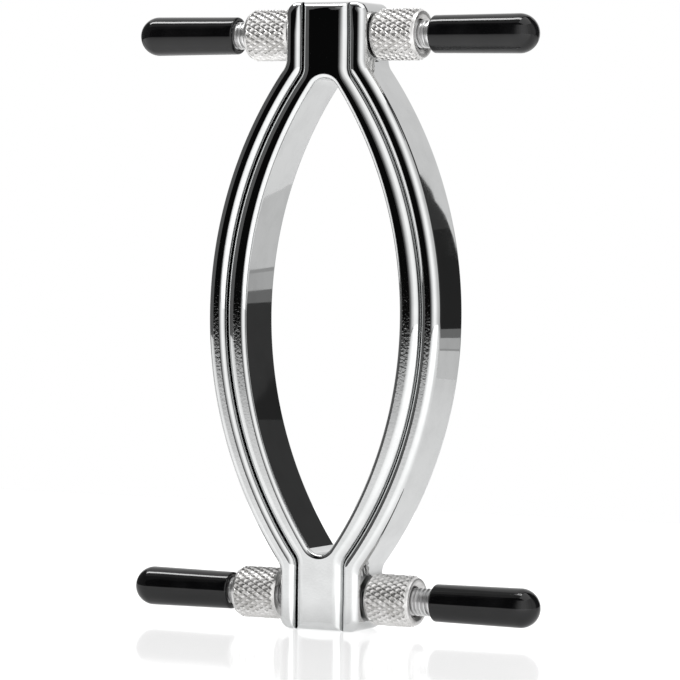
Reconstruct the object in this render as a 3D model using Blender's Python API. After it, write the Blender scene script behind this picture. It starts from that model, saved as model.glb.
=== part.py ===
"""A screw-adjusted almond clamp of chromed steel.

A centre ring with an almond opening lies between two outer bars that follow it. A threaded rod
crosses each end of the ring, the bars slide on the rods, a knurled nut seats on each bar's lug, and
a vinyl cap covers each rod end. X runs along the rods, Y front to back, and Z from end to end. The
part stands on its lower lugs, with the origin at the middle of that flat.
"""

import math

import bmesh
import bpy
from mathutils import Vector

MM = 0.001

# Frame of the clamp
DEPTH = 11.0 * MM
ROD_SPACING = 100.3 * MM
LUG_END = 5.7 * MM
SEAM = 0.3 * MM

# Centre ring
OPENING_HALF = 15.3 * MM
OPENING_RADIUS = 71.3 * MM
APEX_RADIUS = 2.85 * MM
RING_HALF = 19.4 * MM
RING_RADIUS = 71.6 * MM
BLOCK_HALF = 4.7 * MM
RING_BLEND = 3.0 * MM

# Outer bars
BAR_HALF = 23.0 * MM
BAR_RADIUS = 74.0 * MM
LUG_HALF = 7.95 * MM
BAR_BLEND = 3.0 * MM
LUG_CORNER = 2.1 * MM

# Rounded edges
OPENING_EDGE = 0.9 * MM
RING_EDGE = 1.9 * MM
BAR_OUTER_EDGE = 1.2 * MM
BAR_INNER_EDGE = 0.7 * MM
END_EDGE = 1.6 * MM
EDGE_STEPS = 3

# Threaded rods and the clearances round them
ROD_DIAMETER = 5.0 * MM
ROD_LENGTH = 70.0 * MM
ROD_CHAMFER = 0.5 * MM
BLOCK_CLEARANCE = 0.15 * MM
BAR_CLEARANCE = 0.3 * MM
NUT_CLEARANCE = 0.2 * MM
CAP_CLEARANCE = 0.15 * MM

# Knurled nuts
NUT_DIAMETER = 9.2 * MM
NUT_LENGTH = 8.7 * MM
NUT_INNER_CHAMFER = 0.4 * MM
NUT_OUTER_CHAMFER = 0.5 * MM
NUT_EDGE_DROP = 0.45 * MM
NUT_SINK_WIDTH = 0.75 * MM
NUT_SINK_DEPTH = 0.5 * MM
KNURL_TEETH = 26
KNURL_ROWS = 4
KNURL_DEPTH = 0.3 * MM
NUT_BACK_OFF = {
    "top_left": 0.3 * MM,
    "top_right": 0.3 * MM,
    "bottom_left": 1.5 * MM,
    "bottom_right": 0.5 * MM,
}

# End caps, each from its own place beyond the nut to a little past the rod's end
CAP_OVERHANG = 1.65 * MM
CAP_END_WALL = 3.0 * MM
CAP_DIAMETER = 7.0 * MM
CAP_MOUTH_DIAMETER = 6.7 * MM
CAP_LIP = 0.4 * MM
CAP_SEGMENTS = 24
CAP_STAND_OFF = {
    "top_left": 3.25 * MM,
    "top_right": 2.45 * MM,
    "bottom_left": 3.15 * MM,
    "bottom_right": 4.05 * MM,
}

# Where a nut that is hard against its lug ends, and the cap that covers the rod beyond it
NUT_END = LUG_HALF + NUT_LENGTH
CAP_LENGTH = ROD_LENGTH / 2 - NUT_END + CAP_OVERHANG

# Derived heights
ROD_REACH = ROD_SPACING / 2
END_HEIGHT = ROD_REACH + LUG_END
CENTRE_Z = END_HEIGHT
ROD_Z = {"bottom": CENTRE_Z - ROD_REACH, "top": CENTRE_Z + ROD_REACH}
SIDE = {"left": -1, "right": 1}


def clear_scene():
    """Removes every object, so that the model starts from nothing."""
    for item in list(bpy.data.objects):
        bpy.data.objects.remove(item, do_unlink=True)


def material(name, colour, metallic, roughness, coat=0.0):
    """Makes a plain Principled material."""
    made = bpy.data.materials.new(name)
    made.use_nodes = True
    shader = made.node_tree.nodes["Principled BSDF"]
    shader.inputs["Base Color"].default_value = (*colour, 1.0)
    shader.inputs["Metallic"].default_value = metallic
    shader.inputs["Roughness"].default_value = roughness
    shader.inputs["Coat Weight"].default_value = coat
    return made


def chrome(name):
    """Bright chromium plate on steel."""
    return material(name, (0.78, 0.79, 0.80), 1.0, 0.06)


def nickel(name):
    """Satin nickel plate, as on the knurled nuts."""
    return material(name, (0.72, 0.71, 0.69), 1.0, 0.24)


def zinc(name):
    """Bright plated thread stock."""
    return material(name, (0.66, 0.67, 0.68), 1.0, 0.3)


def vinyl(name):
    """Glossy black dipped vinyl."""
    return material(name, (0.012, 0.012, 0.013), 0.0, 0.18, 0.5)


def place(name, mesh, finish, location=(0, 0, 0), turn=0.0):
    """Puts a mesh in the scene as a named object, turned about Z and shaded smooth."""
    mesh.materials.append(finish)
    mesh.shade_smooth()
    mesh.set_sharp_from_angle(angle=math.radians(38))
    item = bpy.data.objects.new(name, mesh)
    item.location = location
    item.rotation_euler = (0, 0, turn)
    bpy.context.collection.objects.link(item)
    return item


def arc_points(centre, radius, start, end, count):
    """Points on an arc, both ends included."""
    for k in range(count + 1):
        angle = start + (end - start) * k / count
        yield centre[0] + radius * math.cos(angle), centre[1] + radius * math.sin(angle)


def side_curve(half, radius, line, blend, edge, count=16):
    """Half of one side of an outline, from mid height up to where it runs straight.

    The arc bulges to half at mid height. A blend, whose centre lies outside, carries it into the
    straight line at X = line. Each point is (x, z, edge in, edge out).
    """
    middle = half - radius
    blend_z = math.sqrt((radius + blend) ** 2 - (line + blend - middle) ** 2)
    touch = math.atan2(blend_z, line + blend - middle)
    points = list(arc_points((middle, 0), radius, 0.0, touch, count))
    turn = list(arc_points((line + blend, blend_z), blend, touch + math.pi, math.pi, 4))
    return [(x, z, edge, edge) for x, z in points + turn[1:]]


def opening_curve(half, radius, apex, edge, count=14):
    """Quarter of the almond opening, from mid height up to its rounded point."""
    middle = half - radius
    apex_z = math.sqrt((radius - apex) ** 2 - middle**2)
    touch = math.atan2(apex_z, -middle)
    points = list(arc_points((middle, 0), radius, 0.0, touch, count))
    tip = list(arc_points((0, apex_z), apex, touch, math.pi / 2, 5))
    return [(x, z, edge, edge) for x, z in points + tip[1:]]


def all_round(quarter):
    """Mirrors the upper right quarter of an outline into the whole, counter-clockwise."""
    back = [(x, z, b, a) for x, z, a, b in reversed(quarter)]
    if abs(quarter[-1][0]) < 1e-9:
        back = back[1:]
    upper = quarter + [(-x, z, a, b) for x, z, a, b in back]
    lower = [(-x, -z, a, b) for x, z, a, b in upper]
    return upper[:-1] + lower[:-1]


def corner_step(before, here, after):
    """How far a vertex moves into the material for a full edge radius on each side of it."""
    ahead = Vector((after[0] - here[0], after[1] - here[1])).normalized()
    behind = Vector((here[0] - before[0], here[1] - before[1])).normalized()
    n_in = Vector((-behind.y, behind.x))
    n_out = Vector((-ahead.y, ahead.x))
    cross = n_in.x * n_out.y - n_in.y * n_out.x
    if abs(cross) > 0.6:
        x = (here[2] * n_out.y - here[3] * n_in.y) / cross
        y = (here[3] * n_in.x - here[2] * n_out.x) / cross
        return Vector((x, y))
    middle = (n_in + n_out).normalized()
    return middle * (0.5 * (here[2] + here[3]) / middle.dot(n_in))


def edge_loops(mesh, outline, depth, steps):
    """Rings of vertices for one outline, from the front flat over both rounded edges to the back."""
    count = len(outline)
    moves = [corner_step(outline[i - 1], outline[i], outline[(i + 1) % count]) for i in range(count)]
    rings = []
    for side in (-1, 1):
        part = []
        for k in range(steps + 1):
            angle = 0.5 * math.pi * k / steps
            ring = []
            for (x, z, a, b), move in zip(outline, moves):
                inset = 1 - math.sin(angle)
                drop = 0.5 * (a + b) * (1 - math.cos(angle))
                y = side * (depth / 2 - drop)
                ring.append(mesh.verts.new((x + move.x * inset, y, z + move.y * inset)))
            part.append(ring)
        rings.extend(part if side < 0 else reversed(part))
    return rings


def plate(name, outlines, depth):
    """A flat-faced plate with rounded edges. Holes run clockwise and the outside runs the other way."""
    mesh = bmesh.new()
    faces_at = {0: [], -1: []}
    for outline in outlines:
        rings = edge_loops(mesh, outline, depth, EDGE_STEPS)
        for near, far in zip(rings, rings[1:]):
            for i in range(len(near)):
                j = (i + 1) % len(near)
                mesh.faces.new((near[i], near[j], far[j], far[i]))
        for end in faces_at:
            ring = rings[end]
            faces_at[end] += [mesh.edges.get((ring[i - 1], ring[i])) for i in range(len(ring))]
    for edges in faces_at.values():
        bmesh.ops.triangle_fill(mesh, use_beauty=True, use_dissolve=False, edges=edges)
    bmesh.ops.recalc_face_normals(mesh, faces=mesh.faces[:])
    data = bpy.data.meshes.new(name)
    mesh.to_mesh(data)
    mesh.free()
    return data


def turned(name, profile, segments, wave=None):
    """A closed solid turned about X from a closed profile of (x, radius) points.

    wave, where given, changes the radius with the profile's row and the column round the axis.
    """
    mesh = bmesh.new()
    rings = []
    for row, (x, radius) in enumerate(profile):
        ring = []
        for column in range(segments):
            angle = 2 * math.pi * column / segments
            r = radius + (wave(row, column) if wave else 0.0)
            ring.append(mesh.verts.new((x, r * math.cos(angle), r * math.sin(angle))))
        rings.append(ring)
    for row in range(len(rings)):
        near, far = rings[row], rings[(row + 1) % len(rings)]
        for i in range(segments):
            j = (i + 1) % segments
            corners = (near[i], near[j], far[j], far[i])
            if wave and row % 2 == i % 2:
                mesh.faces.new((corners[0], corners[1], corners[2]))
                mesh.faces.new((corners[0], corners[2], corners[3]))
            elif wave:
                mesh.faces.new((corners[1], corners[2], corners[3]))
                mesh.faces.new((corners[1], corners[3], corners[0]))
            else:
                mesh.faces.new(corners)
    bmesh.ops.recalc_face_normals(mesh, faces=mesh.faces[:])
    data = bpy.data.meshes.new(name)
    mesh.to_mesh(data)
    mesh.free()
    return data


def domed(name, profile, segments, pole):
    """A solid turned about X whose open profile starts and ends on the axis."""
    mesh = bmesh.new()
    first, last = pole
    rings = []
    for x, radius in profile:
        ring = []
        for column in range(segments):
            angle = 2 * math.pi * column / segments
            ring.append(mesh.verts.new((x, radius * math.cos(angle), radius * math.sin(angle))))
        rings.append(ring)
    for near, far in zip(rings, rings[1:]):
        for i in range(segments):
            j = (i + 1) % segments
            mesh.faces.new((near[i], near[j], far[j], far[i]))
    for ring, x in ((rings[0], first), (rings[-1], last)):
        tip = mesh.verts.new((x, 0, 0))
        for i in range(segments):
            mesh.faces.new((ring[i], ring[(i + 1) % segments], tip))
    bmesh.ops.recalc_face_normals(mesh, faces=mesh.faces[:])
    data = bpy.data.meshes.new(name)
    mesh.to_mesh(data)
    mesh.free()
    return data


def bore(item, radius, z, start, end):
    """Cuts a round hole along X through an object, from start to end in the object's own frame."""
    mesh = domed(f"{item.name}_drill", [(start, radius), (end, radius)], 24, (start, end))
    tool = bpy.data.objects.new(f"cut_{item.name}_{round(z * 1000)}", mesh)
    tool.parent = item
    tool.location = (0, 0, z)
    tool.hide_render = True
    tool.display_type = "WIRE"
    bpy.context.collection.objects.link(tool)
    cut = item.modifiers.new("cross_hole", "BOOLEAN")
    cut.operation = "DIFFERENCE"
    cut.solver = "EXACT"
    cut.object = tool


def ring_outside():
    """Outline of the centre ring's outside, with its square block at each end."""
    quarter = side_curve(RING_HALF, RING_RADIUS, BLOCK_HALF, RING_BLEND, RING_EDGE)
    quarter.append((BLOCK_HALF, END_HEIGHT, RING_EDGE, END_EDGE))
    return all_round(quarter)


def ring_opening():
    """Outline of the almond opening, clockwise."""
    around = all_round(opening_curve(OPENING_HALF, OPENING_RADIUS, APEX_RADIUS, OPENING_EDGE))
    return list(reversed(around))


def bar_outline():
    """Outline of the right bar: its outside, the rounded lug ends and the face along the ring."""
    outside = side_curve(BAR_HALF, BAR_RADIUS, LUG_HALF, BAR_BLEND, BAR_OUTER_EDGE)
    round_centre = (LUG_HALF - LUG_CORNER, END_HEIGHT - LUG_CORNER)
    steps = 5
    for k, (x, z) in enumerate(arc_points(round_centre, LUG_CORNER, 0.0, math.pi / 2, steps)):
        edge = BAR_OUTER_EDGE + (END_EDGE - BAR_OUTER_EDGE) * k / steps
        outside.append((x, z, edge, edge))
    line = BLOCK_HALF + SEAM
    half, radius, blend = RING_HALF + SEAM, RING_RADIUS + SEAM, RING_BLEND - SEAM
    inside = side_curve(half, radius, line, blend, BAR_INNER_EDGE)
    inside.append((line, END_HEIGHT, BAR_INNER_EDGE, END_EDGE))
    upper = outside + [(x, z, b, a) for x, z, a, b in reversed(inside)]
    lower = [(x, -z, b, a) for x, z, a, b in reversed(upper)]
    return upper + lower[1:-1]


def centre_ring():
    """The middle piece: an almond ring with a block for a rod at each end."""
    mesh = plate("centre_ring", [ring_outside(), ring_opening()], DEPTH)
    item = place("centre_ring", mesh, chrome("ring_chrome"), (0, 0, CENTRE_Z))
    for z in (-ROD_REACH, ROD_REACH):
        bore(item, ROD_DIAMETER / 2 + BLOCK_CLEARANCE, z, -2 * BLOCK_HALF, 2 * BLOCK_HALF)
    return item


def outer_bar(side):
    """One bar, which slides along both rods. The left one is the right one turned about Z."""
    mesh = plate(f"{side}_bar", [bar_outline()], DEPTH)
    turn = 0.0 if side == "right" else math.pi
    item = place(f"{side}_bar", mesh, chrome(f"{side}_bar_chrome"), (0, 0, CENTRE_Z), turn)
    for z in (-ROD_REACH, ROD_REACH):
        bore(item, ROD_DIAMETER / 2 + BAR_CLEARANCE, z, BLOCK_HALF / 2, 2 * LUG_HALF)
    return item


def threaded_rod(level):
    """A straight rod through the ring's block, held there at its middle."""
    half, radius = ROD_LENGTH / 2, ROD_DIAMETER / 2
    profile = [
        (-half, radius - ROD_CHAMFER),
        (-half + ROD_CHAMFER, radius),
        (half - ROD_CHAMFER, radius),
        (half, radius - ROD_CHAMFER),
    ]
    mesh = domed(f"{level}_rod", profile, 24, (-half, half))
    return place(f"{level}_rod", mesh, zinc(f"{level}_rod_steel"), (0, 0, ROD_Z[level]))


def knurled_nut(level, side):
    """A round nut whose diamonds are peaks and hollows by turns, row after row.

    Its own +X points outwards, along the rod, from the seat on the bar to the countersunk face.
    """
    radius = NUT_DIAMETER / 2
    hole = ROD_DIAMETER / 2 + NUT_CLEARANCE
    start, end = NUT_INNER_CHAMFER, NUT_LENGTH - NUT_OUTER_CHAMFER
    rows = 2 * KNURL_ROWS
    profile = [(0.0, hole), (0.0, radius - NUT_EDGE_DROP)]
    first = len(profile)
    profile += [(start + (end - start) * k / rows, radius) for k in range(rows + 1)]
    last = len(profile) - 1
    profile += [
        (NUT_LENGTH, radius - NUT_EDGE_DROP),
        (NUT_LENGTH, hole + NUT_SINK_WIDTH),
        (NUT_LENGTH - NUT_SINK_DEPTH, hole),
    ]

    def diamonds(row, column):
        """Every other vertex of a knurled row lies at the bottom of a cut."""
        return -KNURL_DEPTH if first <= row <= last and (row + column) % 2 else 0.0

    name = f"{level}_{side}_nut"
    mesh = turned(name, profile, 2 * KNURL_TEETH, diamonds)
    seat = SIDE[side] * (LUG_HALF + NUT_BACK_OFF[f"{level}_{side}"])
    turn = 0.0 if side == "right" else math.pi
    return place(name, mesh, nickel(f"{name}_nickel"), (seat, 0, ROD_Z[level]), turn)


def end_cap(level, side):
    """A push-on vinyl sleeve with a round end. Its own +X points to that end."""
    radius, mouth = CAP_DIAMETER / 2, CAP_MOUTH_DIAMETER / 2
    hole = ROD_DIAMETER / 2 + CAP_CLEARANCE
    middle = CAP_LENGTH - radius
    hole_depth = CAP_LENGTH - CAP_END_WALL
    profile = [(hole_depth, hole), (0.0, hole)]
    lip = list(arc_points((CAP_LIP, mouth - CAP_LIP), CAP_LIP, math.pi, math.pi / 2, 3))
    profile += lip
    profile += list(arc_points((middle, 0.0), radius, math.pi / 2, math.radians(10), 5))
    name = f"{level}_{side}_cap"
    mesh = domed(name, profile, CAP_SEGMENTS, (hole_depth, CAP_LENGTH))
    seat = SIDE[side] * (NUT_END + CAP_STAND_OFF[f"{level}_{side}"])
    turn = 0.0 if side == "right" else math.pi
    return place(name, mesh, vinyl(f"{name}_vinyl"), (seat, 0, ROD_Z[level]), turn)


def main():
    """Builds every piece where it sits with the bars closed on the ring."""
    clear_scene()
    centre_ring()
    for side in SIDE:
        outer_bar(side)
    for level in ROD_Z:
        threaded_rod(level)
        for side in SIDE:
            knurled_nut(level, side)
            end_cap(level, side)


main()
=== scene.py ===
"""The dressed model of the almond ring clamp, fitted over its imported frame.

Each kind of piece is a class that holds its sizes and builds its meshes by primitives, spins,
extrusions, insets and bevels. Each finish is a class that makes one material. All sizes are in
metres, in the frame's own axes: X along the rods, Y front to back, Z from end to end.
"""

import logging
import math
from contextlib import contextmanager
from dataclasses import dataclass
from enum import Enum
from itertools import pairwise
from typing import Callable, Iterator

import bmesh
import bpy
from bpy.types import Material, Node, NodeSocket, NodeTree, Object
from mathutils import Matrix, Vector


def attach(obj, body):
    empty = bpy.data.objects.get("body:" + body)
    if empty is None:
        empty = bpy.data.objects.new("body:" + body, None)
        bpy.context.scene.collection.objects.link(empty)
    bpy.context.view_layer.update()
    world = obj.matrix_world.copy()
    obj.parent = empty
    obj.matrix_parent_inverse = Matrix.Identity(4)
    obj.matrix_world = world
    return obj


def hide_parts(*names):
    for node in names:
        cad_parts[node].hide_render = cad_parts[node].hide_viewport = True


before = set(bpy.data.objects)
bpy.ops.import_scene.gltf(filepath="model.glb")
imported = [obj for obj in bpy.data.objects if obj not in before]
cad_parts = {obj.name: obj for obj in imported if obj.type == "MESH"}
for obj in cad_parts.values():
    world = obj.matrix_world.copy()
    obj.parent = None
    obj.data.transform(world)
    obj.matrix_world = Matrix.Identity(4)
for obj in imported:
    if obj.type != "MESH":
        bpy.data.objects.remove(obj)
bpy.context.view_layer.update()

LOG = logging.getLogger("clamp")
MM = 0.001
NEAR = 1e-6  # two lengths that differ by less count as the same
CREASE = 30.0  # edges of the plates and rods that are sharper stay crisp, in degrees

Span = tuple[float, float]
Corner = tuple[float, float, float]


class Side(Enum):
    """Which bar a piece belongs to, and the direction of that bar from the ring."""

    LEFT = -1
    RIGHT = 1

    @property
    def word(self) -> str:
        """The side's word in the frame's names."""
        return self.name.lower()

    @property
    def turn(self) -> float:
        """The turn about Z that carries a right-hand piece to this side."""
        return 0.0 if self is Side.RIGHT else math.pi


class Level(Enum):
    """Which of the two rods a piece sits on."""

    TOP = "top"
    BOTTOM = "bottom"


# The four places of a nut or a cap, with the words that the frame names them by.
CORNERS = [(f"{level.value}_{side.word}", level, side) for level in Level for side in Side]


class Part(Enum):
    """The elements of a mesh that can be picked in edit mode."""

    VERTS = "verts"
    EDGES = "edges"
    FACES = "faces"


# ---- Sizes ----


@dataclass(frozen=True)
class ClampSizes:
    """The clamp's own sizes, the same as those of its solids but for the closed-up seam."""

    depth: float = 11.0 * MM
    rod_spacing: float = 100.3 * MM
    lug_end: float = 5.7 * MM
    seam: float = 0.1 * MM
    opening_half: float = 15.3 * MM
    opening_radius: float = 71.3 * MM
    apex_radius: float = 2.85 * MM
    ring_half: float = 19.4 * MM
    ring_radius: float = 71.6 * MM
    block_half: float = 4.7 * MM
    ring_blend: float = 3.0 * MM
    bar_half: float = 23.0 * MM
    bar_radius: float = 74.0 * MM
    lug_half: float = 7.95 * MM
    bar_blend: float = 3.0 * MM
    lug_corner: float = 2.1 * MM
    rod_diameter: float = 5.0 * MM
    rod_length: float = 70.0 * MM
    thread_pitch: float = 0.8 * MM
    block_clearance: float = 0.15 * MM
    bar_clearance: float = 0.3 * MM

    @property
    def end_height(self) -> float:
        """From the ring's middle to the flat at either end."""
        return self.rod_spacing / 2 + self.lug_end

    def rod_z(self, level: Level) -> float:
        """Gives the height of one rod's axis above the floor."""
        sign = 1 if level is Level.TOP else -1
        return self.end_height + sign * self.rod_spacing / 2


SIZES = ClampSizes()

# How far each nut is backed off its bar, and each cap stands out from the innermost place of a nut's end.
NUT_BACK_OFF_MM = {"top_left": 0.3, "top_right": 0.3, "bottom_left": 1.5, "bottom_right": 0.5}
CAP_STAND_OFF_MM = {"top_left": 3.25, "top_right": 2.45, "bottom_left": 3.15, "bottom_right": 4.05}


# ---- Modelling by hand ----


def only(item: Object) -> None:
    """Makes one object the only selected one, and the active one.

    Args:
        item: the object.
    """
    bpy.ops.object.select_all(action="DESELECT")
    item.select_set(True)
    bpy.context.view_layer.objects.active = item


@contextmanager
def editing(item: Object, mode: str = "VERT") -> Iterator[None]:
    """Opens an object in edit mode with everything in it selected, and closes it again.

    Args:
        item: the object.
        mode: the select mode, VERT, EDGE or FACE.
    """
    only(item)
    bpy.ops.object.mode_set(mode="EDIT")
    bpy.ops.mesh.select_mode(type=mode)
    bpy.ops.mesh.select_all(action="SELECT")
    yield
    bpy.ops.object.mode_set(mode="OBJECT")


def pick(item: Object, part: Part, test: Callable[..., bool]) -> None:
    """Selects the elements of the open mesh that pass a test, and nothing else.

    Args:
        item: the object in edit mode.
        part: the kind of element to test.
        test: takes one element and says whether it is wanted.
    """
    bpy.ops.mesh.select_all(action="DESELECT")
    mesh = bmesh.from_edit_mesh(item.data)
    for element in [element for element in getattr(mesh, part.value) if test(element)]:
        element.select_set(True)
    mesh.select_flush_mode()
    bmesh.update_edit_mesh(item.data)


def tidy(item: Object, join: float = 0.002 * MM) -> None:
    """Merges doubled vertices and makes every face point outwards.

    Args:
        item: the object.
        join: vertices nearer than this become one.
    """
    with editing(item):
        bpy.ops.mesh.remove_doubles(threshold=join)
        bpy.ops.mesh.select_all(action="SELECT")
        bpy.ops.mesh.normals_make_consistent(inside=False)


def settle(item: Object) -> None:
    """Puts an object's place, turn and size into its mesh.

    Args:
        item: the object.
    """
    only(item)
    bpy.ops.object.transform_apply(location=True, rotation=True, scale=True)


def modify(item: Object, kind: str, **settings: object) -> None:
    """Adds a modifier with its settings, and applies it.

    Args:
        item: the object.
        kind: the modifier's type.
        settings: the modifier's own properties.
    """
    modifier = item.modifiers.new(kind.lower(), kind)
    for name, value in settings.items():
        setattr(modifier, name, value)
    only(item)
    bpy.ops.object.modifier_apply(modifier=modifier.name)


def copy_of(item: Object, name: str) -> Object:
    """Copies an object with a mesh of its own.

    Args:
        item: the object to copy.
        name: the copy's name.

    Returns:
        The copy.
    """
    only(item)
    bpy.ops.object.duplicate(linked=False)
    made = bpy.context.object
    made.name = name
    made.data.name = name
    return made


def move_to(item: Object, side: Side, along: float, z: float) -> None:
    """Carries a piece modelled at the origin, facing +X, to its place on a rod.

    Args:
        item: the piece.
        side: the side of the ring that it goes to.
        along: how far out along the rod its own origin goes.
        z: the height of the rod.
    """
    item.matrix_world = Matrix.Translation((side.value * along, 0, z)) @ Matrix.Rotation(side.turn, 4, "Z")
    settle(item)


def soften(item: Object, degrees: float) -> None:
    """Shades an object smooth, with edges sharper than an angle left crisp.

    Args:
        item: the object.
        degrees: the angle.
    """
    only(item)
    bpy.ops.object.shade_smooth_by_angle(angle=math.radians(degrees), keep_sharp_edges=False)


def level_normals(item: Object) -> None:
    """Keeps large flats optically flat beside their rounded edges, as lapped metal is.

    Args:
        item: the object.
    """
    modify(item, "WEIGHTED_NORMAL", mode="FACE_AREA", weight=60, keep_sharp=True)


class Wire:
    """A line of arcs and straights in the XZ plane, drawn by spinning and extruding its end."""

    def __init__(self, name: str, x: float, z: float) -> None:
        """Starts the line with one vertex.

        Args:
            name: the object's name.
            x: where it starts.
            z: where it starts.
        """
        bpy.ops.object.select_all(action="DESELECT")
        bpy.ops.mesh.primitive_circle_add(vertices=3, radius=MM, location=(0, 0, 0))
        self.item = bpy.context.object
        self.item.name = name
        self.item.data.name = name
        self.x, self.z = x, z
        with editing(self.item):
            bpy.ops.mesh.merge(type="CENTER")
            bpy.ops.transform.translate(value=(x, 0, z))

    def _end(self) -> None:
        """Selects the vertex that the line ends in, and takes its place as the line's own."""
        place = Vector((self.x, 0, self.z))
        last = min(bmesh.from_edit_mesh(self.item.data).verts, key=lambda v: (v.co - place).length)
        index = last.index
        self.x, self.z = last.co.x, last.co.z
        pick(self.item, Part.VERTS, lambda v: v.index == index)

    def line(self, x: float, z: float) -> "Wire":
        """Draws a straight to a point.

        Args:
            x: the point.
            z: the point.

        Returns:
            The same line.
        """
        with editing(self.item):
            self._end()
            step = (x - self.x, 0, z - self.z)
            bpy.ops.mesh.extrude_region_move(TRANSFORM_OT_translate={"value": step})
        self.x, self.z = x, z
        return self

    def arc(self, x: float, z: float, degrees: float, steps: int) -> "Wire":
        """Draws an arc round a centre, counter-clockwise as seen from the front.

        Args:
            x: the centre.
            z: the centre.
            degrees: how far round, clockwise where it is negative.
            steps: the number of chords.

        Returns:
            The same line.
        """
        angle = math.radians(degrees)
        with editing(self.item):
            self._end()
            bpy.ops.mesh.spin(steps=steps, angle=angle, center=(x, 0, z), axis=(0, 1, 0))
        dx, dz = self.x - x, self.z - z
        self.x = x + dx * math.cos(angle) - dz * math.sin(angle)
        self.z = z + dx * math.sin(angle) + dz * math.cos(angle)
        return self


def lathe(item: Object, steps: int) -> None:
    """Spins a line round the X axis into a closed solid.

    Args:
        item: the line, in the XZ plane.
        steps: the number of chords round the axis.
    """
    with editing(item):
        bpy.ops.mesh.spin(steps=steps, angle=2 * math.pi, center=(0, 0, 0), axis=(1, 0, 0))
    tidy(item)


# ---- Finishes ----


def linear(code: str) -> tuple[float, float, float, float]:
    """Turns an sRGB hex colour to linear.

    Args:
        code: six hex digits after a hash.

    Returns:
        The linear colour with full alpha.
    """
    parts = [int(code[i : i + 2], 16) / 255 for i in (1, 3, 5)]
    curved = [c / 12.92 if c <= 0.04045 else ((c + 0.055) / 1.055) ** 2.4 for c in parts]
    return curved[0], curved[1], curved[2], 1.0


def add_node(tree: NodeTree, kind: str, inputs: dict | None = None, **settings: object) -> Node:
    """Adds a node with its settings, and gives its inputs their values or links.

    Args:
        tree: the node tree.
        kind: the node's type.
        inputs: input names or numbers, each with a value or with the output that feeds it.
        settings: the node's own properties.

    Returns:
        The node.
    """
    node = tree.nodes.new(kind)
    for name, value in settings.items():
        setattr(node, name, value)
    for key, value in (inputs or {}).items():
        if isinstance(value, NodeSocket):
            tree.links.new(value, node.inputs[key])
        else:
            node.inputs[key].default_value = value
    return node


def start_material(name: str) -> tuple[Material, NodeTree, Node]:
    """Starts a material with its Principled shader.

    Args:
        name: the material's name.

    Returns:
        The material, its node tree and its shader.
    """
    made = bpy.data.materials.new(name)
    made.use_nodes = True
    return made, made.node_tree, made.node_tree.nodes["Principled BSDF"]


def blend_colours(tree: NodeTree, pattern: NodeSocket, span: Span, colours: tuple[str, str]) -> NodeSocket:
    """Carries one colour into another as a pattern rises.

    Args:
        tree: the node tree.
        pattern: the pattern.
        span: the pattern's values where the change starts and where it is complete.
        colours: the colours before and after it, in sRGB hex.

    Returns:
        The colour.
    """
    share = add_node(tree, "ShaderNodeMapRange", {"Value": pattern, "From Min": span[0], "From Max": span[1]})
    colour = add_node(
        tree,
        "ShaderNodeMix",
        {0: share.outputs["Result"], 6: linear(colours[0]), 7: linear(colours[1])},
        data_type="RGBA",
    )
    return colour.outputs[2]


def lay_surface(
    shader: Node,
    colour: NodeSocket,
    grain: NodeSocket,
    span: Span,
    rough: Span,
    bump: Node | None = None,
) -> None:
    """Gives a shader its colour, a roughness that rises with a grain, and its bumps.

    Args:
        shader: the shader.
        colour: the colour.
        grain: the pattern that the roughness follows.
        span: the pattern's values where the roughness starts and stops rising.
        rough: the roughness at those two.
        bump: the last bump, if there is one.
    """
    tree = shader.id_data
    dulled = add_node(
        tree,
        "ShaderNodeMapRange",
        {"Value": grain, "From Min": span[0], "From Max": span[1], "To Min": rough[0], "To Max": rough[1]},
    )
    tree.links.new(colour, shader.inputs["Base Color"])
    tree.links.new(dulled.outputs["Result"], shader.inputs["Roughness"])
    if bump:
        tree.links.new(bump.outputs["Normal"], shader.inputs["Normal"])


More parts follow.
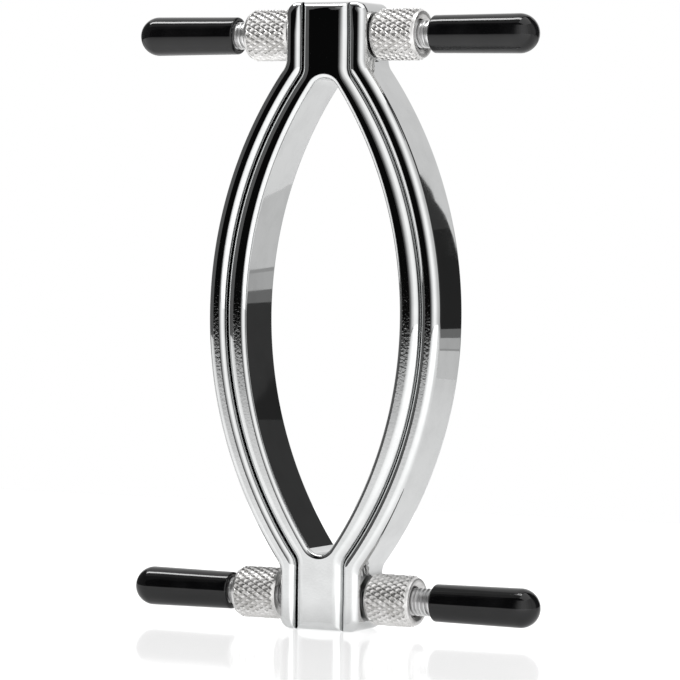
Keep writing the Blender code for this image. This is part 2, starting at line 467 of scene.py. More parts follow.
@dataclass(frozen=True)
class BrightChrome:
    """Decorative chromium plate over polished zinc casting.

    It gives the eye a near mirror, a little darker than silver, with the long soft waves that
    hand polishing leaves, the faintest haze where it was wiped, and a fine orange peel on the
    front and back flats, which breaks up the horizon that they mirror.
    """

    plate: str = "#CFD0D0"
    wiped: str = "#C6C7C7"
    haze_mm: float = 5.0
    wiped_span: Span = (0.42, 0.78)
    haze_span: Span = (0.35, 0.8)
    rough: Span = (0.02, 0.05)
    wave_mm: float = 9.0
    wave_depth_mm: float = 0.006
    peel_mm: float = 0.5
    peel_depth_mm: float = 0.006
    peel_from: float = 0.98

    def make(self, name: str) -> Material:
        """Makes the material.

        Args:
            name: the material's name.

        Returns:
            The material.
        """
        made, tree, shader = start_material(name)
        coordinate = add_node(tree, "ShaderNodeTexCoord")
        place = coordinate.outputs["Object"]
        haze = add_node(
            tree,
            "ShaderNodeTexNoise",
            {"Vector": place, "Scale": 1000 / self.haze_mm, "Detail": 4.0, "Roughness": 0.6},
        )
        wave, peel = (
            add_node(tree, "ShaderNodeTexNoise", {"Vector": place, "Scale": 1000 / size, "Detail": detail})
            for size, detail in ((self.wave_mm, 1.0), (self.peel_mm, 2.0))
        )
        facing = add_node(tree, "ShaderNodeSeparateXYZ", {"Vector": coordinate.outputs["Normal"]})
        depthwise = add_node(tree, "ShaderNodeMath", {0: facing.outputs["Y"]}, operation="ABSOLUTE")
        on_flat = add_node(
            tree,
            "ShaderNodeMapRange",
            {"Value": depthwise.outputs["Value"], "From Min": self.peel_from, "From Max": 1.0},
        )
        long_bump = add_node(
            tree,
            "ShaderNodeBump",
            {"Height": wave.outputs["Fac"], "Strength": 1.0, "Distance": self.wave_depth_mm * MM},
        )
        bump = add_node(
            tree,
            "ShaderNodeBump",
            {
                "Height": peel.outputs["Fac"],
                "Strength": on_flat.outputs["Result"],
                "Distance": self.peel_depth_mm * MM,
                "Normal": long_bump.outputs["Normal"],
            },
        )
        shader.inputs["Metallic"].default_value = 1.0
        colour = blend_colours(tree, haze.outputs["Fac"], self.wiped_span, (self.plate, self.wiped))
        lay_surface(shader, colour, haze.outputs["Fac"], self.haze_span, self.rough, bump)
        return made


@dataclass(frozen=True)
class SatinNickel:
    """Satin nickel plate over knurled brass.

    It gives the eye a bright grey that breaks into sparkles on the diamonds, a fine grain that
    keeps the highlights soft, and slightly duller patches where fingers have worn it.
    """

    plate: str = "#E2E1E0"
    worn: str = "#C9C8C6"
    patch_mm: float = 2.2
    worn_span: Span = (0.35, 0.75)
    grain_mm: float = 0.22
    grain_depth_mm: float = 0.006
    grain_span: Span = (0.3, 0.7)
    rough: Span = (0.28, 0.4)

    def make(self, name: str) -> Material:
        """Makes the material.

        Args:
            name: the material's name.

        Returns:
            The material.
        """
        made, tree, shader = start_material(name)
        place = add_node(tree, "ShaderNodeTexCoord").outputs["Object"]
        patch, grain = (
            add_node(tree, "ShaderNodeTexNoise", {"Vector": place, "Scale": 1000 / size, "Detail": detail})
            for size, detail in ((self.patch_mm, 3.0), (self.grain_mm, 2.0))
        )
        bump = add_node(
            tree,
            "ShaderNodeBump",
            {"Height": grain.outputs["Fac"], "Strength": 1.0, "Distance": self.grain_depth_mm * MM},
        )
        shader.inputs["Metallic"].default_value = 1.0
        colour = blend_colours(tree, patch.outputs["Fac"], self.worn_span, (self.plate, self.worn))
        lay_surface(shader, colour, grain.outputs["Fac"], self.grain_span, self.rough, bump)
        return made


@dataclass(frozen=True)
class PlatedThread:
    """Bright zinc plate on rolled screw thread.

    It gives the eye a clean grey with fine bright and dark lines along the helix, and painted
    shade down in the roots: the colour there is darker than on the crests.
    """

    # The root grey is painted shade down in the thread's roots; the crest grey is the plate's own colour.
    root: str = "#C2C2C2"
    crest: str = "#E4E4E4"
    radius_mm: float = 2.5
    depth_mm: float = 0.3
    grain_mm: float = 0.3
    grain_span: Span = (0.3, 0.7)
    rough: Span = (0.3, 0.42)

    def make(self, name: str, z: float) -> Material:
        """Makes the material for the rod at one height.

        Args:
            name: the material's name.
            z: the height of the rod's axis.

        Returns:
            The material.
        """
        made, tree, shader = start_material(name)
        place = add_node(tree, "ShaderNodeTexCoord").outputs["Object"]
        centred = add_node(
            tree, "ShaderNodeMapping", {"Vector": place, "Location": (0, 0, -z), "Scale": (0, 1, 1)}
        )
        reach = add_node(tree, "ShaderNodeVectorMath", {0: centred.outputs["Vector"]}, operation="LENGTH")
        grain = add_node(
            tree, "ShaderNodeTexNoise", {"Vector": place, "Scale": 1000 / self.grain_mm, "Detail": 2.0}
        )
        shader.inputs["Metallic"].default_value = 1.0
        # Painted shade: the colour runs from the root grey at the roots' depth to the crest grey at the
        # crests.
        flank = ((self.radius_mm - self.depth_mm) * MM, self.radius_mm * MM)
        colour = blend_colours(tree, reach.outputs["Value"], flank, (self.root, self.crest))
        lay_surface(shader, colour, grain.outputs["Fac"], self.grain_span, self.rough)
        return made


@dataclass(frozen=True)
class DippedVinyl:
    """Soft PVC, dip moulded and left with its natural gloss.

    It gives the eye a deep black with clear but weak, slightly wavy reflections, as a skin that
    set while it hung to drip has, under a trace of plasticiser.
    """

    black: str = "#0B0B0C"
    dusty: str = "#131314"
    drip_mm: float = 4.0
    drip_depth_mm: float = 0.03
    dusty_span: Span = (0.4, 0.8)
    skin_mm: float = 0.5
    skin_span: Span = (0.3, 0.8)
    rough: Span = (0.05, 0.1)
    refraction: float = 1.53
    mirror: float = 0.34

    def make(self, name: str) -> Material:
        """Makes the material.

        Args:
            name: the material's name.

        Returns:
            The material.
        """
        made, tree, shader = start_material(name)
        place = add_node(tree, "ShaderNodeTexCoord").outputs["Object"]
        drip, skin = (
            add_node(tree, "ShaderNodeTexNoise", {"Vector": place, "Scale": 1000 / size, "Detail": detail})
            for size, detail in ((self.drip_mm, 1.0), (self.skin_mm, 2.0))
        )
        bump = add_node(
            tree,
            "ShaderNodeBump",
            {"Height": drip.outputs["Fac"], "Strength": 1.0, "Distance": self.drip_depth_mm * MM},
        )
        shader.inputs["IOR"].default_value = self.refraction
        shader.inputs["Specular IOR Level"].default_value = self.mirror
        colour = blend_colours(tree, drip.outputs["Fac"], self.dusty_span, (self.black, self.dusty))
        lay_surface(shader, colour, skin.outputs["Fac"], self.skin_span, self.rough, bump)
        return made


# ---- Plates: the centre ring and the bars ----


@dataclass
class SideCurve:
    """One side of a bowed outline: an arc, and a blend that carries it into a straight."""

    half: float
    radius: float
    line: float
    blend: float
    arc_steps: int = 120
    blend_steps: int = 14

    @property
    def middle(self) -> float:
        """X of the arc's centre."""
        return self.half - self.radius

    @property
    def blend_z(self) -> float:
        """Height of the blend's centre, which is also where the straight starts."""
        return math.sqrt((self.radius + self.blend) ** 2 - (self.line + self.blend - self.middle) ** 2)

    @property
    def touch(self) -> float:
        """Angle of the arc at which the blend starts, in degrees."""
        return math.degrees(math.atan2(self.blend_z, self.line + self.blend - self.middle))

    def draw(self, wire: Wire, way: int) -> None:
        """Draws the whole side, from one straight to the other.

        Args:
            wire: the line, which ends where the first blend starts.
            way: 1 to go upwards, -1 downwards.
        """
        blend_x = self.line + self.blend
        wire.arc(blend_x, -way * self.blend_z, -way * self.touch, self.blend_steps)
        wire.arc(self.middle, 0, 2 * way * self.touch, self.arc_steps)
        wire.arc(blend_x, way * self.blend_z, -way * self.touch, self.blend_steps)


def fill() -> None:
    """Closes the outline that is open in edit mode, and fills it with one face."""
    bpy.ops.mesh.remove_doubles(threshold=0.003 * MM)
    bpy.ops.mesh.select_all(action="SELECT")
    bpy.ops.mesh.edge_face_add()


def thicken(item: Object, depth: float) -> None:
    """Extrudes a flat face into a plate centred on Y = 0.

    Args:
        item: the face.
        depth: the plate's thickness.
    """
    with editing(item):
        bpy.ops.mesh.extrude_region_move(TRANSFORM_OT_translate={"value": (0, depth, 0)})
        bpy.ops.mesh.select_all(action="SELECT")
        bpy.ops.transform.translate(value=(0, -depth / 2, 0))
    tidy(item)


def round_edges(item: Object, depth: float, width: Callable[[Vector], float], steps: int) -> None:
    """Rounds the rims of a plate's two flats, each edge with a width from its place.

    Args:
        item: the plate.
        depth: its thickness.
        width: gives the edge radius at a point of the rim.
        steps: chords in each rounded edge.
    """
    widest = 2.0 * MM
    mesh = bmesh.new()
    mesh.from_mesh(item.data)
    weight = mesh.edges.layers.float.new("bevel_weight_edge")
    for edge in mesh.edges:
        flat = abs(edge.verts[0].co.y + edge.verts[1].co.y) > depth - NEAR
        wall = any(abs(face.normal.y) < 0.5 for face in edge.link_faces)
        if flat and wall:
            edge[weight] = width((edge.verts[0].co + edge.verts[1].co) / 2) / widest
    mesh.to_mesh(item.data)
    mesh.free()
    modify(item, "BEVEL", limit_method="WEIGHT", width=widest, segments=steps, use_clamp_overlap=False)


def drill(item: Object, radius: float, start: float, end: float, steps: int = 64) -> None:
    """Bores the cross holes for both rods through a plate whose middle is at height zero.

    Args:
        item: the plate.
        radius: the holes' radius.
        start: X where the drill starts.
        end: X where it ends.
        steps: chords round a hole.
    """
    for z in (-SIZES.rod_spacing / 2, SIZES.rod_spacing / 2):
        bpy.ops.object.select_all(action="DESELECT")
        bpy.ops.mesh.primitive_cylinder_add(
            vertices=steps,
            radius=radius,
            depth=abs(end - start),
            location=((start + end) / 2, 0, z),
            rotation=(0, math.pi / 2, 0),
        )
        tool = bpy.context.object
        modify(item, "BOOLEAN", operation="DIFFERENCE", solver="EXACT", object=tool)
        bpy.data.objects.remove(tool, do_unlink=True)


@dataclass
class CentreRing:
    """The middle piece: an almond ring with a block for a rod at each end."""

    sizes: ClampSizes
    opening_edge: float = 0.9 * MM
    ring_edge: float = 1.9 * MM
    end_edge: float = 1.6 * MM
    edge_steps: int = 10
    apex_steps: int = 16
    opening_margin: float = 1.0 * MM
    end_margin: float = 0.01 * MM

    def edge_width(self, place: Vector) -> float:
        """Gives the radius of the rounded edge at a point of the rim.

        Args:
            place: the point, with the ring's middle at height zero.

        Returns:
            The radius.
        """
        s = self.sizes
        reach = math.hypot(abs(place.x) - (s.opening_half - s.opening_radius), place.z)
        if reach < s.opening_radius + self.opening_margin:
            return self.opening_edge
        if abs(place.z) > s.end_height - self.end_margin:
            return self.end_edge
        return self.ring_edge

    def build(self) -> Object:
        """Models the ring at its place.

        Returns:
            The ring.
        """
        s = self.sizes
        side = SideCurve(s.ring_half, s.ring_radius, s.block_half, s.ring_blend)
        centre = s.opening_half - s.opening_radius
        apex_z = math.sqrt((s.opening_radius - s.apex_radius) ** 2 - centre**2)
        touch = math.degrees(math.atan2(apex_z, -centre))
        wire = Wire("almond_ring", 0, -s.end_height)
        wire.line(s.block_half, -s.end_height).line(s.block_half, -side.blend_z)
        side.draw(wire, 1)
        wire.line(s.block_half, s.end_height).line(0, s.end_height).line(0, apex_z + s.apex_radius)
        wire.arc(0, apex_z, touch - 90, self.apex_steps)
        wire.arc(centre, 0, -2 * touch, side.arc_steps)
        wire.arc(0, -apex_z, touch - 90, self.apex_steps)
        wire.line(0, -s.end_height)
        ring = wire.item
        with editing(ring):
            fill()
            bpy.ops.mesh.select_all(action="SELECT")
            bpy.ops.mesh.duplicate()
            bpy.ops.transform.resize(value=(-1, 1, 1), center_override=(0, 0, 0))
        tidy(ring)
        thicken(ring, s.depth)
        round_edges(ring, s.depth, self.edge_width, self.edge_steps)
        drill(ring, s.rod_diameter / 2 + s.block_clearance, -2 * s.block_half, 2 * s.block_half)
        ring.location.z = s.end_height
        settle(ring)
        soften(ring, CREASE)
        level_normals(ring)
        return ring

    def dress(self, ring: Object) -> None:
        """Plates the ring and hands it to the frame.

        Args:
            ring: the ring.
        """
        ring.data.materials.append(BrightChrome().make("chrome_plate_ring"))
        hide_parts("centre_ring")
        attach(ring, "frame")
        LOG.info("centre ring: %d faces", len(ring.data.polygons))


@dataclass
class OuterBar:
    """One of the two bars that slide along the rods and follow the ring's outside."""

    sizes: ClampSizes
    side: Side
    outer_edge: float = 1.4 * MM
    inner_edge: float = 1.2 * MM
    inner_end_edge: float = 0.8 * MM
    narrow_end: float = 1.7 * MM
    narrowing: float = 4.0 * MM
    narrow_rows: int = 8
    end_edge: float = 1.6 * MM
    edge_steps: int = 10
    corner_steps: int = 12
    inner_margin: float = 0.1 * MM

    def edge_width(self, place: Vector) -> float:
        """Gives the radius of the rounded edge at a point of the right bar's rim.

        The inner edge narrows near the ends, where the lug's top has no room for its full width.

        Args:
            place: the point, with the bar's middle at height zero.

        Returns:
            The radius.
        """
        s = self.sizes
        line = s.block_half + s.seam
        between = (s.ring_radius + s.bar_radius) / 2
        bow = between**2 - place.z**2
        centre = (s.ring_half + s.bar_half) / 2 - between
        middle = max(centre + math.sqrt(max(bow, 0.0)), (line + s.lug_half) / 2)
        height = abs(place.z)
        below_corner = height < s.end_height - s.lug_corner
        if place.x < line + self.inner_margin or (place.x < middle and below_corner):
            room = (s.end_height - self.narrow_end - height) / self.narrowing
            return self.inner_end_edge + (self.inner_edge - self.inner_end_edge) * min(max(room, 0.0), 1.0)
        share = (height - (s.end_height - s.lug_corner)) / s.lug_corner
        return self.outer_edge + (self.end_edge - self.outer_edge) * min(max(share, 0.0), 1.0)

    def build(self) -> Object:
        """Models the bar at its place.

        Returns:
            The bar.
        """
        s = self.sizes
        line = s.block_half + s.seam
        outside = SideCurve(s.bar_half, s.bar_radius, s.lug_half, s.bar_blend)
        inside = SideCurve(s.ring_half + s.seam, s.ring_radius + s.seam, line, s.ring_blend - s.seam)
        corner_x, corner_z = s.lug_half - s.lug_corner, s.end_height - s.lug_corner
        wire = Wire(f"{self.side.word}_bow_bar", line, -s.end_height)
        wire.line(corner_x, -s.end_height).arc(corner_x, -corner_z, 90, self.corner_steps)
        wire.line(s.lug_half, -outside.blend_z)
        outside.draw(wire, 1)
        wire.line(s.lug_half, corner_z).arc(corner_x, corner_z, 90, self.corner_steps)
        top, rows = s.end_height - self.narrow_end, self.narrow_rows
        heights = [top - self.narrowing * k / rows for k in range(rows + 1)]
        wire.line(line, s.end_height)
        for height in heights:
            wire.line(line, height)
        wire.line(line, inside.blend_z)
        inside.draw(wire, -1)
        for height in reversed(heights):
            wire.line(line, -height)
        wire.line(line, -s.end_height)
        bar = wire.item
        with editing(bar):
            fill()
        thicken(bar, s.depth)
        round_edges(bar, s.depth, self.edge_width, self.edge_steps)
        drill(bar, s.rod_diameter / 2 + s.bar_clearance, s.block_half / 2, 2 * s.lug_half)
        move_to(bar, self.side, 0.0, s.end_height)
        soften(bar, CREASE)
        level_normals(bar)
        return bar

    def dress(self, bar: Object) -> None:
        """Plates the bar and hands it to the frame.

        Args:
            bar: the bar.
        """
        bar.data.materials.append(BrightChrome().make(f"chrome_plate_{self.side.word}_bar"))
        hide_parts(f"{self.side.word}_bar")
        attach(bar, f"{self.side.word}_bar_body")
        LOG.info("%s bar: %d faces", self.side.word, len(bar.data.polygons))


# ---- Rods, nuts and caps ----


@dataclass
class ThreadedRod:
    """A length of metric thread through one end of the ring."""

    sizes: ClampSizes
    level: Level
    thread_depth: float = 0.3 * MM
    crest: float = 0.2 * MM
    root: float = 0.16 * MM
    spare_turns: int = 3
    steps: int = 32

    def build(self) -> Object:
        """Models the thread as a helix of one ridge, cut square at both ends.

        Returns:
            The rod.
        """
        s = self.sizes
        radius, pitch = s.rod_diameter / 2, s.thread_pitch
        low = radius - self.thread_depth
        flank = (pitch - self.crest - self.root) / 2
        turns = math.ceil(s.rod_length / pitch) + self.spare_turns
        start = -turns * pitch / 2
        wire = Wire(f"{self.level.value}_screw", start, low)
        wire.line(start + self.root, low).line(start + self.root + flank, radius)
        wire.line(start + self.root + flank + self.crest, radius).line(start + pitch, low)
        rod = wire.item
        modify(
            rod,
            "SCREW",
            axis="X",
            angle=2 * math.pi,
            screw_offset=pitch,
            iterations=turns,
            steps=self.steps,
            render_steps=self.steps,
        )
        tidy(rod)
        half = s.rod_length / 2
        for sign in (-1, 1):
            with editing(rod):
                bpy.ops.mesh.bisect(
                    plane_co=(sign * half, 0, 0),
                    plane_no=(sign, 0, 0),
                    use_fill=True,
                    clear_outer=True,
                    threshold=1e-7,
                )
        tidy(rod, join=0.0005 * MM)
        rod.location.z = s.rod_z(self.level)
        settle(rod)
        soften(rod, CREASE)
        return rod

    def dress(self, rod: Object) -> None:
        """Plates the rod and hands it to the frame.

        Args:
            rod: the rod.
        """
        name = self.level.value
        rod.data.materials.append(PlatedThread().make(f"zinc_plate_{name}_rod", self.sizes.rod_z(self.level)))
        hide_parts(f"{name}_rod")
        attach(rod, "frame")
        LOG.info("%s rod: %d faces", name, len(rod.data.polygons))


@dataclass
class KnurledNut:
    """A round nut with cut diamonds, chamfered ends and a countersunk outer face."""

    sizes: ClampSizes
    diameter: float = 9.2 * MM
    length: float = 8.7 * MM
    inner_chamfer: float = 0.4 * MM
    outer_chamfer: float = 0.5 * MM
    edge_drop: float = 0.45 * MM
    sink_width: float = 0.75 * MM
    sink_depth: float = 0.5 * MM
    clearance: float = 0.2 * MM
    teeth: int = 26
    rows: int = 4
    knurl_depth: float = 0.3 * MM
    land: float = 0.26 * MM
    rim_bevel: float = 0.07 * MM
    crease: float = 28.0

    def _grid(self) -> Object:
        """Models the band between the chamfers as a plain grid at the depth of the cuts."""
        radius = self.diameter / 2 - self.knurl_depth
        band = self.length - self.inner_chamfer - self.outer_chamfer
        bpy.ops.object.select_all(action="DESELECT")
        bpy.ops.mesh.primitive_circle_add(
            vertices=self.teeth,
            radius=radius,
            fill_type="NOTHING",
            location=(self.inner_chamfer, 0, 0),
            rotation=(0, math.pi / 2, 0),
        )
        nut = bpy.context.object
        settle(nut)
        with editing(nut):
            for _ in range(self.rows):
                step = {"value": (band / self.rows, 0, 0)}
                bpy.ops.mesh.extrude_region_move(TRANSFORM_OT_translate=step)
        return nut

    def _diamonds(self, nut: Object) -> None:
        """Turns the grid's squares into diamonds, and raises each one between its cuts.

        Args:
            nut: the band.
        """
        radius = self.diameter / 2 - self.knurl_depth
        chord = math.cos(math.pi / self.teeth)
        start, end = self.inner_chamfer, self.length - self.outer_chamfer

        def on_circle(v: bmesh.types.BMVert) -> bool:
            """Says whether a vertex lies on the full radius."""
            return math.hypot(v.co.y, v.co.z) > radius * (1 + chord) / 2

        def at_end(v: bmesh.types.BMVert) -> bool:
            """Says whether a vertex lies at either end of the band."""
            return min(abs(v.co.x - start), abs(v.co.x - end)) < NEAR

        with editing(nut, "EDGE"):
            bpy.ops.mesh.poke()
            pick(
                nut,
                Part.EDGES,
                lambda e: all(on_circle(v) for v in e.verts) and not all(at_end(v) for v in e.verts),
            )
            bpy.ops.mesh.dissolve_edges(use_verts=False)
            pick(nut, Part.EDGES, lambda e: all(at_end(v) for v in e.verts))
            bpy.ops.mesh.subdivide(number_cuts=1)
        with editing(nut):
            pick(nut, Part.VERTS, lambda v: not on_circle(v))
            bpy.ops.transform.resize(value=(1, 1 / chord, 1 / chord), center_override=(0, 0, 0))
        with editing(nut, "FACE"):
            bpy.ops.mesh.normals_make_consistent(inside=False)
        # The band is open at both ends, so its faces can come out turned inwards.
        if sum(face.normal.dot(Vector((0, face.center.y, face.center.z))) for face in nut.data.polygons) < 0:
            with editing(nut, "FACE"):
                bpy.ops.mesh.flip_normals()
        with editing(nut, "FACE"):
            bpy.ops.mesh.inset(
                thickness=self.land, depth=self.knurl_depth, use_individual=True, use_boundary=True
            )

    def _pick_mouth(self, nut: Object, x: float) -> None:
        """Selects the open edge of the band's end at X, in edit mode."""
        pick(nut, Part.EDGES, lambda e: e.is_boundary and all(abs(v.co.x - x) < NEAR for v in e.verts))

    def _step(self, dx: float, scale: float) -> None:
        """Extrudes the selected round edge by dx along the axis and scales its radius."""
        bpy.ops.mesh.extrude_edges_move(TRANSFORM_OT_translate={"value": (dx, 0, 0)})
        bpy.ops.transform.resize(value=(1, scale, scale), center_override=(0, 0, 0))

    def _body(self, nut: Object) -> None:
        """Adds the chamfers, the countersunk face, the seat and the bore.

        Args:
            nut: the knurled band.
        """
        cut = self.diameter / 2 - self.knurl_depth
        edge = self.diameter / 2 - self.edge_drop
        hole = self.sizes.rod_diameter / 2 + self.clearance
        rim = hole + self.sink_width
        start, end = self.inner_chamfer, self.length - self.outer_chamfer
        with editing(nut, "EDGE"):
            self._pick_mouth(nut, end)
            self._step(self.outer_chamfer, edge / cut)
            self._step(0.0, rim / edge)
            self._step(-self.sink_depth, hole / rim)
            self._step(-(self.length - self.sink_depth), 1.0)
            self._pick_mouth(nut, start)
            self._step(-self.inner_chamfer, edge / cut)
            self._step(0.0, hole / edge)
        tidy(nut)

        def at_rim(e: bmesh.types.BMEdge) -> bool:
            """Says whether an edge runs round a corner of the seat or the outer face."""
            reach = [math.hypot(v.co.y, v.co.z) for v in e.verts]
            ends = all(min(v.co.x, self.length - v.co.x) < NEAR for v in e.verts)
            return ends and abs(reach[0] - reach[1]) < NEAR and len(e.link_faces) == 2

        with editing(nut, "EDGE"):
            pick(nut, Part.EDGES, at_rim)
            bpy.ops.mesh.bevel(offset=self.rim_bevel, segments=2, affect="EDGES", clamp_overlap=True)

    def build(self) -> Object:
        """Models one nut at the origin, with its outer face to +X.

        Returns:
            The nut.
        """
        nut = self._grid()
        self._diamonds(nut)
        self._body(nut)
        tidy(nut)
        soften(nut, self.crease)
        return nut

    def dress(self, master: Object) -> None:
        """Copies the nut to its four places, plates each and hands it to the frame.

        Args:
            master: the nut at the origin.
        """
        for corner, level, side in CORNERS:
            nut = copy_of(master, f"{corner}_thumb_nut")
            along = self.sizes.lug_half + NUT_BACK_OFF_MM[corner] * MM
            move_to(nut, side, along, self.sizes.rod_z(level))
            nut.data.materials.append(SatinNickel().make(f"satin_nickel_{corner}_nut"))
            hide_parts(f"{corner}_nut")
            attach(nut, f"{corner}_nut_body")
            LOG.info("%s nut: %d faces", corner, len(nut.data.polygons))
        bpy.data.objects.remove(master, do_unlink=True)


@dataclass
class EndCap:
    """A push-on vinyl sleeve with a round end."""

    sizes: ClampSizes
    nut_end: float = 16.65 * MM
    length: float = 20.0 * MM
    end_wall: float = 3.0 * MM
    diameter: float = 7.0 * MM
    mouth_diameter: float = 6.7 * MM
    lip: float = 0.4 * MM
    mouth_round: float = 0.12 * MM
    clearance: float = 0.15 * MM
    rows: int = 10
    steps: int = 72
    crease: float = 40.0

    def build(self) -> Object:
        """Models one cap at the origin, with its round end to +X.

        Returns:
            The cap.
        """
        radius, mouth = self.diameter / 2, self.mouth_diameter / 2
        hole = self.sizes.rod_diameter / 2 + self.clearance
        inner_end = self.length - self.end_wall
        wire = Wire("cap", inner_end, 0)
        wire.line(inner_end, hole).line(self.mouth_round, hole)
        wire.arc(self.mouth_round, hole + self.mouth_round, -90, 4)
        wire.line(0, mouth - self.lip).arc(self.lip, mouth - self.lip, -90, 8)
        middle = self.length - radius
        for row in range(1, self.rows + 1):
            share = row / self.rows
            wire.line(self.lip + (middle - self.lip) * share, mouth + (radius - mouth) * share)
        wire.arc(middle, 0, -90, 20)
        cap = wire.item
        lathe(cap, self.steps)
        soften(cap, self.crease)
        return cap

    def dress(self, master: Object) -> None:
        """Copies the cap to the four rod ends, finishes each and hands it to the frame.

        Args:
            master: the cap at the origin.
        """
        for corner, level, side in CORNERS:
            cap = copy_of(master, f"{corner}_sleeve")
            along = self.nut_end + CAP_STAND_OFF_MM[corner] * MM
            move_to(cap, side, along, self.sizes.rod_z(level))
            cap.data.materials.append(DippedVinyl().make(f"vinyl_{corner}_cap"))
            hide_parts(f"{corner}_cap")
            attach(cap, "frame")
            LOG.info("%s cap: %d faces", corner, len(cap.data.polygons))
        bpy.data.objects.remove(master, do_unlink=True)


# ---- Studio ----


@dataclass(frozen=True, kw_only=True)
class Panel:
    """A flat light panel, which shows in glossy surfaces only where it is set so."""

    strength: float
    gloss: bool = False


@dataclass(frozen=True)
class LevelPanel(Panel):
    """A level rectangular panel, in metres."""

    x: Span
    y: Span
    z: float

    @property
    def corners(self) -> list[Corner]:
        """The four corners in order."""
        (x0, x1), (y0, y1) = self.x, self.y
        return [(x0, y0, self.z), (x1, y0, self.z), (x1, y1, self.z), (x0, y1, self.z)]


@dataclass(frozen=True)
class UprightPanel(Panel):
    """A rectangular panel on edge beside the object, in metres.

    Its two sides are given by their direction from the object, in degrees from the front towards
    the right, and by how far away they stand.
    """

    turns: Span
    away: float
    z: Span

    @property
    def corners(self) -> list[Corner]:
        """The four corners in order."""
        angles = [math.radians(turn) for turn in self.turns]
        (x0, y0), (x1, y1) = [(self.away * math.sin(a), -self.away * math.cos(a)) for a in angles]
        low, high = self.z
        return [(x0, y0, low), (x1, y1, low), (x1, y1, high), (x0, y0, high)]


@dataclass(frozen=True)
class ShapedPanel(Panel):
    """A panel of any outline that stands square to the front."""

    y: float
    outline_mm: tuple[Span, ...]

    @property
    def corners(self) -> list[Corner]:
        """The corners in order, in metres."""
        return [(x * MM, self.y, z * MM) for x, z in self.outline_mm]


# The lamps stand side by side in a ring. Each one starts at its own turn and ends at the next.
LAMP_TURNS = (-21.5, -10, -1, 8, 18, 28, 58, 72, 88, 116, 125)
LAMP_STRENGTHS = (0.1, 0.3, 0.6, 0.9, 1.15, 1.45, 1.25, 0.95, 0.75, 0.5)
LAMP_AWAY, LAMP_Z = 1.2, (0.0, 1.4)

# The right bar's side mirrors this edge of the panel behind as a slanting line.
SLANTING_EDGE = ((74.5, 80), (73, 89), (72, 94), (70.2, 101), (69, 108), (67, 112.5), (66, 116), (64.5, 121))
PLAIN_EDGES = ((64.5, 200), (-30, 200), (-30, 120), (0, 110), (45, 92), (62, 84))

PANELS = {
    "tube": LevelPanel((-0.75, 0.1), (-0.08, 0.08), 0.9, strength=14.0, gloss=True),
    "tube_front": LevelPanel((-0.95, 0.1), (-0.45, -0.08), 0.9, strength=0.4),
    "tube_back": LevelPanel((-1.2, 0.05), (0.08, 1.3), 0.9, strength=0.9),
    "overhead_right": LevelPanel((0.1, 0.9), (-0.5, 0.5), 1.0, strength=1.6),
    "table_front": LevelPanel((-2.2, 2.2), (-1.27, -1.06), 0.0, strength=0.22),
    **{
        f"lamp_{turns[0]:.0f}": UprightPanel(turns, LAMP_AWAY, LAMP_Z, strength=strength)
        for turns, strength in zip(pairwise(LAMP_TURNS), LAMP_STRENGTHS)
    },
    "left": UprightPanel((-38.0, -125.0), LAMP_AWAY, LAMP_Z, strength=0.13),
    "dim_right": UprightPanel((125.0, 153.2), 1.7, (-0.8, 2.2), strength=0.05),
    "dim_left": UprightPanel((153.2, 172.0), 1.7, (-0.8, 0.37), strength=0.026),
    "dim_high": UprightPanel((153.2, 172.0), 1.7, (0.37, 2.2), strength=0.05),
    "sweep": UprightPanel((172.0, 235.0), 2.0, (-0.1, 1.2), strength=1.0),
    "high_rear": ShapedPanel(0.12, SLANTING_EDGE + PLAIN_EDGES, strength=0.85),
    "table_back": LevelPanel((-0.2, 2.2), (0.25, 0.45), 0.0, strength=0.75),
    "table_line": LevelPanel((-0.2, 2.2), (0.45, 0.475), 0.0, strength=0.4),
    "table_far": LevelPanel((-0.2, 2.2), (0.475, 0.66), 0.0, strength=0.55),
    "table_dim": LevelPanel((-0.2, 2.2), (0.66, 0.95), 0.0, strength=0.2),
}


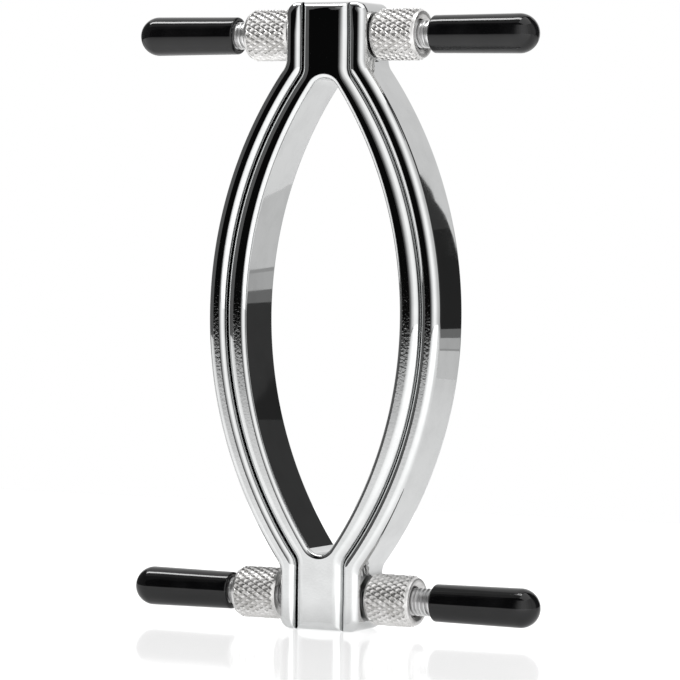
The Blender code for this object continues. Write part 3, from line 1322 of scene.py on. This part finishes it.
@dataclass
class Studio:
    """A pale glossy table in a dark room, with soft light panels and a white sweep behind.

    The camera is the one fitted to the photograph. Each of the table's two falls of light starts
    and ends at a pair of Y and brightness.
    """

    yaw: float = 27.0
    pitch: float = 2.008
    roll: float = -0.678
    focal_pixels: float = 3980.5
    pixels_per_mm: float = 5.6
    shift_right: float = -0.997
    shift_up: float = 4.207
    frame_pixels: int = 680
    table: LevelPanel = LevelPanel((-2.2, 2.2), (-1.06, 0.25), 0.0, strength=0.5)
    front_fall: tuple[Span, Span] = ((-1.06, 0.4), (-0.2, 0.92))
    back_fall: tuple[Span, Span] = ((-0.05, 0.92), (0.01, 0.38))
    table_rough: float = 0.08
    table_mirror: float = 0.12
    room_glow: float = 0.004

    def camera(self) -> None:
        """Sets the camera where the photograph was taken from."""
        turn, tilt, lean = (math.radians(a) for a in (self.yaw, self.pitch, self.roll))
        right = Vector((math.cos(turn), math.sin(turn), 0))
        ahead = Vector((-math.sin(turn) * math.cos(tilt), math.cos(turn) * math.cos(tilt), -math.sin(tilt)))
        up = right.cross(ahead)
        away = self.focal_pixels / self.pixels_per_mm
        middle = Vector((0, 0, SIZES.end_height))
        place = middle - MM * (self.shift_right * right + self.shift_up * up + away * ahead)
        across = math.cos(lean) * right - math.sin(lean) * up
        above = math.sin(lean) * right + math.cos(lean) * up
        lens = bpy.data.cameras.new("photo_camera")
        lens.sensor_width = 36.0
        lens.lens = self.focal_pixels / self.frame_pixels * lens.sensor_width
        lens.clip_start = 0.01
        lens.clip_end = 20.0
        camera = bpy.data.objects.new("photo_camera", lens)
        bpy.context.scene.collection.objects.link(camera)
        axes = Matrix((across, above, -ahead)).transposed().to_4x4()
        camera.matrix_world = Matrix.Translation(place) @ axes
        bpy.context.scene.camera = camera

    def glow(self, name: str, strength: float) -> Material:
        """Makes the even glow of a light panel.

        Args:
            name: the material's name.
            strength: the brightness.

        Returns:
            The material.
        """
        made, tree, _ = start_material(name)
        tree.nodes.clear()
        light = add_node(tree, "ShaderNodeEmission", {"Color": linear("#FFFFFF"), "Strength": strength})
        add_node(tree, "ShaderNodeOutputMaterial", {"Surface": light.outputs["Emission"]})
        return made

    def sheet(self, name: str, corners: list[Corner], made: Material) -> Object:
        """Puts a flat sheet of one face into the scene.

        Args:
            name: the sheet's name.
            corners: its corners in order, in metres.
            made: its material.

        Returns:
            The sheet.
        """
        mesh = bpy.data.meshes.new(name)
        mesh.from_pydata(corners, [], [tuple(range(len(corners)))])
        mesh.materials.append(made)
        item = bpy.data.objects.new(name, mesh)
        bpy.context.scene.collection.objects.link(item)
        return item

    def hang(self, name: str, panel: LevelPanel | UprightPanel | ShapedPanel) -> None:
        """Hangs a light panel, which lights and is mirrored but isn't itself in any picture.

        Args:
            name: the panel's name.
            panel: its shape and brightness.
        """
        item = self.sheet(name, panel.corners, self.glow(f"{name}_glow", panel.strength))
        item.visible_camera = False
        item.visible_shadow = False
        item.visible_diffuse = not panel.gloss

    def floor(self) -> None:
        """Lays the pale table, a little glossy, as far as the photograph's reflections show it.

        Its own light stands for the lamps over it. It falls off behind the object and towards the
        front edge, and the camera sees it even.
        """
        made, tree, shader = start_material("white_table")
        place = add_node(tree, "ShaderNodeTexCoord").outputs["Object"]
        axes = add_node(tree, "ShaderNodeSeparateXYZ", {"Vector": place})
        depth = axes.outputs["Y"]
        front, back = (
            add_node(
                tree,
                "ShaderNodeMapRange",
                {"Value": depth, "From Min": y0, "From Max": y1, "To Min": glow0, "To Max": glow1},
            )
            for (y0, glow0), (y1, glow1) in (self.front_fall, self.back_fall)
        )
        both = {0: front.outputs["Result"], 1: back.outputs["Result"]}
        lit = add_node(tree, "ShaderNodeMath", both, operation="MINIMUM")
        seen = add_node(tree, "ShaderNodeLightPath").outputs["Is Camera Ray"]
        strength = add_node(
            tree, "ShaderNodeMix", {0: seen, 2: lit.outputs["Value"], 3: self.table.strength}
        )
        shader.inputs["Base Color"].default_value = linear("#F4F4F4")
        shader.inputs["Roughness"].default_value = self.table_rough
        shader.inputs["Specular IOR Level"].default_value = self.table_mirror
        shader.inputs["Emission Color"].default_value = linear("#FFFFFF")
        tree.links.new(strength.outputs[0], shader.inputs["Emission Strength"])
        item = self.sheet("table", self.table.corners, made)

    def room(self) -> None:
        """Makes the room: dark all round, and plain white behind whatever the camera looks at."""
        world = bpy.data.worlds.new("studio_room")
        bpy.context.scene.world = world
        world.use_nodes = True
        tree = world.node_tree
        tree.nodes.clear()
        seen = add_node(tree, "ShaderNodeLightPath")
        white_light = linear("#FFFFFF")
        dark = add_node(tree, "ShaderNodeBackground", {"Color": white_light, "Strength": self.room_glow})
        white = add_node(tree, "ShaderNodeBackground", {"Color": white_light, "Strength": 1.0})
        both = add_node(
            tree,
            "ShaderNodeMixShader",
            {0: seen.outputs["Is Camera Ray"], 1: dark.outputs["Background"], 2: white.outputs["Background"]},
        )
        add_node(tree, "ShaderNodeOutputWorld", {"Surface": both.outputs["Shader"]})

    def light(self) -> None:
        """Hangs the panels where the chrome and the caps show them."""
        for name, panel in PANELS.items():
            self.hang(name, panel)

    def build(self) -> None:
        """Sets up the table, the room, the light and the camera."""
        bpy.context.scene.view_settings.view_transform = "Standard"
        self.floor()
        self.room()
        self.light()
        self.camera()


def main() -> None:
    """Builds the clamp piece by piece and then the studio round it."""
    logging.basicConfig(level=logging.INFO, format="%(message)s")
    ring = CentreRing(SIZES)
    ring.dress(ring.build())
    for side in Side:
        bar = OuterBar(SIZES, side)
        bar.dress(bar.build())
    for level in Level:
        rod = ThreadedRod(SIZES, level)
        rod.dress(rod.build())
    nut = KnurledNut(SIZES)
    nut.dress(nut.build())
    cap = EndCap(SIZES)
    cap.dress(cap.build())
    Studio().build()


if __name__ == "__main__":
    main()
